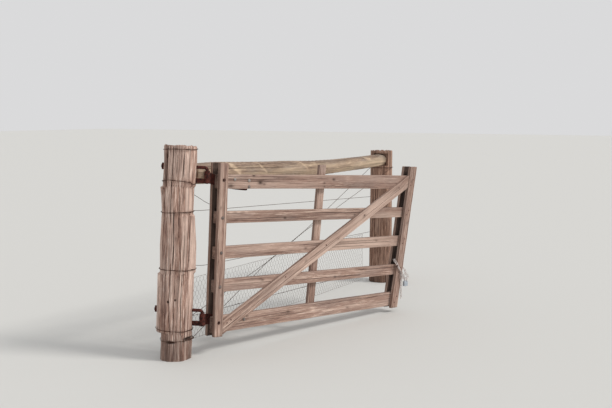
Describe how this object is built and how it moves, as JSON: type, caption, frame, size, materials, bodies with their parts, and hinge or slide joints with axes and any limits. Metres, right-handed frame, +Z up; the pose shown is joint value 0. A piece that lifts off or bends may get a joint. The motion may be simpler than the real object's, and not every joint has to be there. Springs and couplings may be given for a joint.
{
  "type": "field gate",
  "caption": "Weathered wooden field gate hung open on a hewn post, with a log stay, second post, fence wires and netting.",
  "frame": {"origin": "centre of the hinge post's flat foot, at the lowest ground level", "axes": "+X along the fence line towards the far post, +Z up, -Y towards the side that the open leaf stands on"},
  "size_m": [3.4612, 0.9409, 1.5027],
  "materials": {
    "hinge_post_wood": "weathered",
    "far_post_wood": "weathered",
    "log_wood": "weathered",
    "board_wood": "weathered",
    "fence_wire": "rusty",
    "netting_wire": "rusty",
    "chain_steel": "dull zinc",
    "padlock_steel": "scratched",
    "rusty_iron": "rusted"
  },
  "bodies": {
    "fence": {"brace_wire_back": "fence_wire", "brace_wire_front": "fence_wire", "far_loop": "fence_wire", "far_post": "far_post_wood", "foot_band": "fence_wire", "fourth_band": "fence_wire", "hinge_post": "hinge_post_wood", "line_wire_bottom": "fence_wire", "line_wire_middle": "fence_wire", "line_wire_top": "fence_wire", "loose_wire": "fence_wire", "lower_gudgeon": "rusty_iron", "lower_gudgeon_nut": "rusty_iron", "lower_keeper": "rusty_iron", "near_loop": "fence_wire", "netting": "netting_wire", "second_band": "fence_wire", "stay_rail": "log_wood", "third_band": "fence_wire", "top_band": "fence_wire", "upper_gudgeon": "rusty_iron", "upper_gudgeon_nut": "rusty_iron", "upper_keeper": "rusty_iron"},
    "leaf": {"rail_1": "board_wood", "rail_2": "board_wood", "rail_3": "board_wood", "rail_4": "board_wood", "rail_5": "board_wood", "hinge_stile_front": "board_wood", "hinge_stile_back": "board_wood", "latch_stile_front": "board_wood", "latch_stile_back": "board_wood", "middle_stile": "board_wood", "brace": "board_wood", "upper_strap": "rusty_iron", "lower_strap": "rusty_iron", "stile_bolts": "rusty_iron", "strap_bolts": "rusty_iron", "chain": "chain_steel", "chain_staple": "rusty_iron", "padlock_body": "padlock_steel", "padlock_shackle": "padlock_steel"}
  },
  "joints": [
    {"name": "gate_swing", "type": "hinge", "parent": "fence", "child": "leaf", "pos_m": [0.09667, -0.15814, 0], "axis": [0.0568, -0.0153, 0.9983], "range_deg": [-165, 6]}
  ]
}
